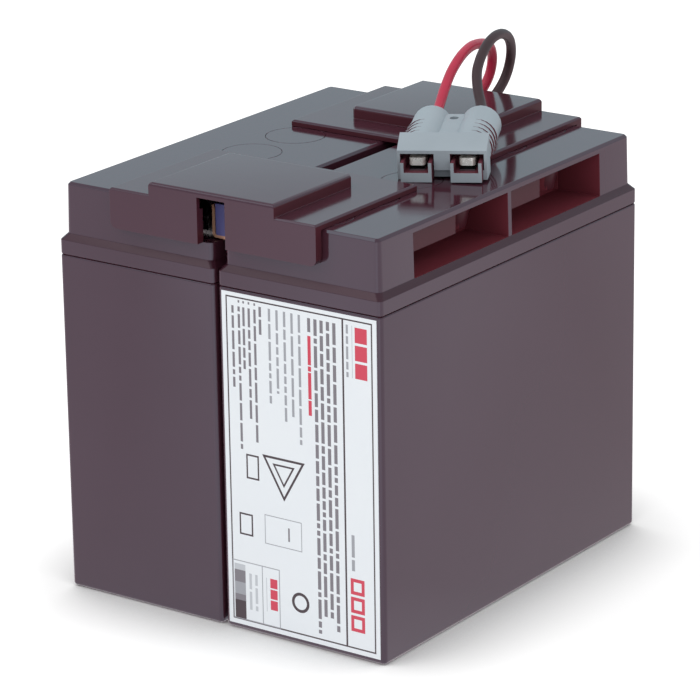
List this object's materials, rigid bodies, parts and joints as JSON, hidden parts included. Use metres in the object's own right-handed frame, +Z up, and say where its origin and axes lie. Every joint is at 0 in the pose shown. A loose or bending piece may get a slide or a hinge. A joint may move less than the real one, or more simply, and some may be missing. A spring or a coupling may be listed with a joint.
{
  "type": "ups battery cartridge",
  "caption": "Two sealed lead-acid batteries side by side under two end covers, joined in series, with a red and a black lead that loop up to a grey two-pole connector resting on top.",
  "frame": {"origin": "middle of the base, where the pair of batteries stands on the floor", "axes": "+Z up; +Y along the batteries, away from the labelled end; +X across the pair, towards the labelled battery"},
  "size_m": [0.152, 0.1961, 0.204],
  "materials": {
    "battery_plastic": "moulded, glossy",
    "cover_plastic": "moulded, glossy",
    "valve_rubber": "moulded",
    "lead_metal": "cast, dull",
    "terminal_metal": "tin plated",
    "link_copper": "stamped, bare",
    "spacer_plastic": "moulded",
    "zinc_steel": "zinc plated",
    "foam": "closed-cell foam",
    "label_film": "printed film, satin",
    "connector_plastic": "moulded, satin",
    "contact_metal": "silver plated",
    "spring_steel": "rolled strip",
    "insulation_red": "extruded, satin",
    "insulation_black": "extruded, satin"
  },
  "bodies": {
    "root": {"case_left": "battery_plastic", "lid_left": "battery_plastic", "valve_caps_left": "valve_rubber", "valve_discs_left": "battery_plastic", "plate_pack_left_1": "lead_metal", "plate_pack_left_2": "lead_metal", "plate_pack_left_3": "lead_metal", "plate_pack_left_4": "lead_metal", "plate_pack_left_5": "lead_metal", "plate_pack_left_6": "lead_metal", "cell_welds_left": "lead_metal", "terminal_positive_left": "terminal_metal", "terminal_negative_left": "terminal_metal", "case_right": "battery_plastic", "lid_right": "battery_plastic", "valve_caps_right": "valve_rubber", "valve_discs_right": "battery_plastic", "plate_pack_right_1": "lead_metal", "plate_pack_right_2": "lead_metal", "plate_pack_right_3": "lead_metal", "plate_pack_right_4": "lead_metal", "plate_pack_right_5": "lead_metal", "plate_pack_right_6": "lead_metal", "cell_welds_right": "lead_metal", "terminal_positive_right": "terminal_metal", "terminal_negative_right": "terminal_metal", "cover_front": "cover_plastic", "cover_back": "cover_plastic", "series_link": "link_copper", "link_spacer": "spacer_plastic", "link_bolt": "zinc_steel", "lead_bolt_black": "zinc_steel", "lead_bolt_red": "zinc_steel", "nuts": "zinc_steel", "washers": "zinc_steel", "foam_strip_front": "foam", "foam_strip_back": "foam", "front_label": "label_film", "connector_housing": "connector_plastic", "contact_red": "contact_metal", "contact_black": "contact_metal", "contact_spring_red": "spring_steel", "contact_spring_black": "spring_steel", "lug_red": "contact_metal", "lug_black": "contact_metal", "lead_red": "insulation_red", "lead_black": "insulation_black"}
  },
  "joints": []
}
